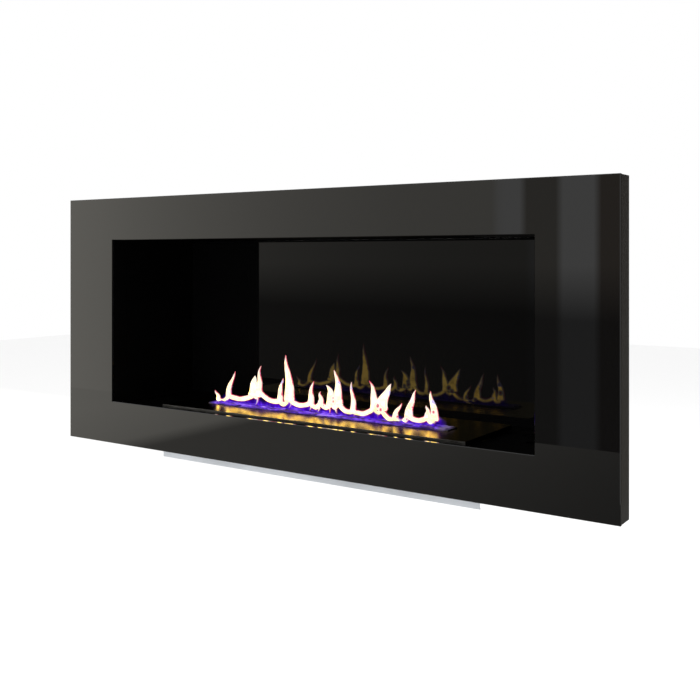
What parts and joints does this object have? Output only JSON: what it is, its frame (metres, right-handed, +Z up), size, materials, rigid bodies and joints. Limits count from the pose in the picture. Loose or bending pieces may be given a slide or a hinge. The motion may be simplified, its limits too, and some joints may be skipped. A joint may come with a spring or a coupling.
{
  "type": "electric fireplace",
  "caption": "Wide wall-recessed electric fireplace: black glass front, open firebox with a dark mirroring back and a flame slot in a low deck.",
  "frame": {"origin": "centre of the wall bolt pattern, on the wall plane, level with the middle of the front panel", "axes": "+X to the right as seen from the room, +Y into the wall, +Z up"},
  "size_m": [1.2, 0.26, 0.521],
  "materials": {
    "black_glass": "high gloss, back painted",
    "dark_mirror": "polished, dark, mirrors about 2 percent",
    "black_steel": "satin powder coat",
    "frame_steel": "gloss paint",
    "galvanised": "zinc coated",
    "rail_steel": "pale grey paint",
    "deck_steel": "polished dark coat",
    "trim_steel": "brushed",
    "rim_steel": "gloss",
    "tape": "foam",
    "rubber": "matt",
    "nylon": "natural",
    "magnet": "nickel plated",
    "bolt_steel": "zinc plated",
    "mist_plastic": "moulded",
    "tank_plastic": "translucent white",
    "float_plastic": "moulded",
    "lens": "frosted",
    "led_board": "solder mask",
    "pcb": "solder mask",
    "brass": "satin",
    "silicone": "translucent",
    "psu_case": "satin",
    "gland": "moulded",
    "cable": "sheath",
    "heater_alu": "mill",
    "rotor": "satin",
    "motor": "satin",
    "bronze": "sintered",
    "control_plastic": "fine texture",
    "key_plastic": "gloss"
  },
  "bodies": {
    "firebox": {"back_mirror": "dark_mirror", "back_panel": "galvanised", "base_pan": "galvanised", "blower_end_plates": "galvanised", "blower_motor": "motor", "blower_scroll": "galvanised", "cable_gland": "gland", "casing_screws": "bolt_steel", "ceiling_panel": "black_steel", "control_bezel": "control_plastic", "control_board": "pcb", "deck_feet": "rubber", "fan_shrouds": "mist_plastic", "fascia_strips": "galvanised", "feed_pipe": "silicone", "float_stem": "nylon", "floor_plate": "black_steel", "heater_cable": "cable", "heating_element": "heater_alu", "inlet_valve": "brass", "inner_wall_left": "black_steel", "inner_wall_right": "black_steel", "led_boards": "led_board", "lens_strips": "lens", "locating_pins": "bolt_steel", "lower_support_rail": "rail_steel", "mirror_pads": "rubber", "mist_chamber": "mist_plastic", "mist_fan_frames": "mist_plastic", "mist_nozzle": "mist_plastic", "nebuliser_discs": "brass", "outlet_frame": "control_plastic", "power_supply": "psu_case", "rotor_bearings": "bronze", "side_panel_left": "galvanised", "side_panel_right": "galvanised", "top_cover": "galvanised", "transducer_bar": "mist_plastic", "wall_flange": "galvanised", "water_tank": "tank_plastic"},
    "front_panel": {"front_glass": "black_glass", "bonding_tape": "tape", "front_frame": "frame_steel", "window_liner": "black_steel", "panel_ribs": "galvanised", "pin_bushes": "nylon", "panel_magnets": "magnet"},
    "deck": {"flame_deck": "deck_steel", "deck_front_trim": "trim_steel", "slot_rim": "rim_steel"},
    "hatch": {"fill_hatch": "black_steel"},
    "float": {"level_float": "float_plastic"},
    "mist_fan_left": {"mist_fan_rotor_left": "control_plastic"},
    "mist_fan_right": {"mist_fan_rotor_right": "control_plastic"},
    "blower_wheel": {"blower_rotor": "rotor"},
    "vane": {"louvre": "control_plastic"},
    "rocker": {"rocker_key": "key_plastic"},
    "flame_key": {"flame_button": "key_plastic"},
    "heat_key": {"heat_button": "key_plastic"},
    "light_key": {"light_button": "key_plastic"}
  },
  "joints": [
    {"name": "front_panel_pull", "type": "slide", "parent": "firebox", "child": "front_panel", "axis": [0, -1, 0], "range_m": [0, 0.15]},
    {"name": "deck_lift", "type": "slide", "parent": "firebox", "child": "deck", "axis": [0, 0, 1], "range_m": [0, 0.12]},
    {"name": "hatch_hinge", "type": "hinge", "parent": "firebox", "child": "hatch", "pos_m": [0.41, 0.137, -0.1695], "axis": [-1, 0, 0], "range_deg": [0, 95]},
    {"name": "float_travel", "type": "slide", "parent": "firebox", "child": "float", "axis": [0, 0, 1], "range_m": [-0.012, 0.008]},
    {"name": "left_fan_spin", "type": "hinge", "parent": "firebox", "child": "mist_fan_left", "pos_m": [-0.305, 0.057, -0.199], "axis": [-1, 0, 0], "continuous": true},
    {"name": "right_fan_spin", "type": "hinge", "parent": "firebox", "child": "mist_fan_right", "pos_m": [0.305, 0.057, -0.199], "axis": [1, 0, 0], "continuous": true},
    {"name": "blower_spin", "type": "hinge", "parent": "firebox", "child": "blower_wheel", "pos_m": [0, 0.112, 0.196], "axis": [1, 0, 0], "continuous": true},
    {"name": "louvre_tilt", "type": "hinge", "parent": "firebox", "child": "vane", "pos_m": [0, 0.059, 0.1676], "axis": [1, 0, 0], "range_deg": [0, 55]},
    {"name": "power_rocker", "type": "hinge", "parent": "firebox", "child": "rocker", "pos_m": [0.43, 0.023, 0.168], "axis": [0, 1, 0], "range_deg": [-7, 7]},
    {"name": "flame_press", "type": "slide", "parent": "firebox", "child": "flame_key", "axis": [0, 0, 1], "range_m": [0, 0.001], "stiffness_N_per_m": 400},
    {"name": "heat_press", "type": "slide", "parent": "firebox", "child": "heat_key", "axis": [0, 0, 1], "range_m": [0, 0.001], "stiffness_N_per_m": 400},
    {"name": "light_press", "type": "slide", "parent": "firebox", "child": "light_key", "axis": [0, 0, 1], "range_m": [0, 0.001], "stiffness_N_per_m": 400}
  ]
}
